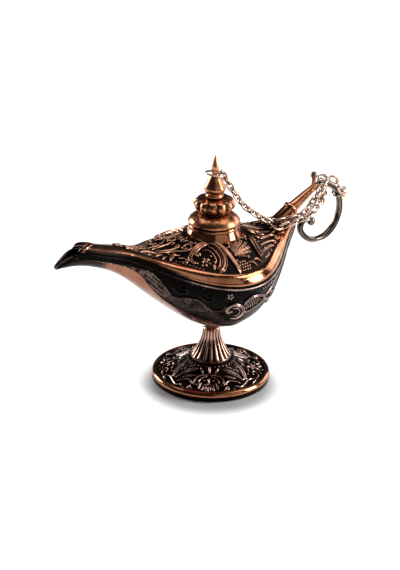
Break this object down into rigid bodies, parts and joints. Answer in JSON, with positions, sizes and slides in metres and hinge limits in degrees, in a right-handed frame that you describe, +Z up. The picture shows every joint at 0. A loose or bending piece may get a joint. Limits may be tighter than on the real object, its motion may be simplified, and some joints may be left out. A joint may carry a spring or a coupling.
{
  "type": "genie lamp incense burner",
  "caption": "Genie lamp incense burner: boat-shaped bowl with curved spout on a fluted pedestal, scroll handle, and a lift-off lid held by a chain.",
  "frame": {"origin": "middle of the bounding box on the table", "axes": "+X from the spout towards the handle, +Y across to the far side, +Z up"},
  "size_m": [0.1206, 0.0446, 0.0787],
  "materials": {
    "copper": "antique copper plate, rubbed bright on the high places",
    "dark_copper": "antique copper plate under near-black patina",
    "bronze": "dark bronze, polished",
    "chain": "pale rose-copper wire",
    "brass": "plain brass, dull with ash",
    "steel": "zinc-plated steel"
  },
  "bodies": {
    "base": {"hull": "dark_copper", "deck": "copper", "scroll_handle": "bronze", "spur_ring": "chain", "end_link_01": "chain", "end_link_02": "chain", "end_link_03": "chain", "end_link_04": "chain", "end_link_05": "chain", "end_link_06": "chain", "foot": "dark_copper", "fluted_stem": "copper", "stem_screw": "steel"},
    "lid": {"lid_cap": "copper", "lid_knop": "copper", "finial": "copper", "finial_nut": "steel", "finial_ring": "chain", "lid_link_01": "chain", "lid_link_02": "chain", "lid_link_03": "chain", "lid_link_04": "chain", "lid_link_05": "chain", "lid_link_06": "chain", "lid_link_07": "chain", "lid_link_08": "chain", "lid_link_09": "chain", "lid_link_10": "chain", "lid_link_11": "chain", "lid_link_12": "chain"},
    "sling": {"junction_ring": "chain", "keeper_ring": "chain", "inner_link_01": "chain", "inner_link_02": "chain", "inner_link_03": "chain", "inner_link_04": "chain", "inner_link_05": "chain", "inner_link_06": "chain", "inner_link_07": "chain", "inner_link_08": "chain", "inner_link_09": "chain", "inner_link_10": "chain", "outer_link_01": "chain", "outer_link_02": "chain", "outer_link_03": "chain", "outer_link_04": "chain", "outer_link_05": "chain", "outer_link_06": "chain", "outer_link_07": "chain", "outer_link_08": "chain", "outer_link_09": "chain", "outer_link_10": "chain"},
    "cup": {"incense_cup": "brass"}
  },
  "joints": [
    {"name": "lid_lift", "type": "slide", "parent": "base", "child": "lid", "axis": [0, 0, 1], "range_m": [0, 0.01]},
    {"name": "sling_swing", "type": "hinge", "parent": "base", "child": "sling", "pos_m": [0.0484, 0, 0.05751], "axis": [0, 1, 0], "range_deg": [0, 23]},
    {"name": "cup_lift", "type": "slide", "parent": "base", "child": "cup", "axis": [0, 0, 1], "range_m": [0, 0.02]}
  ],
  "couplings": [
    {"joint": "sling_swing", "follows": "lid_lift", "rad_per_m": 40}
  ]
}
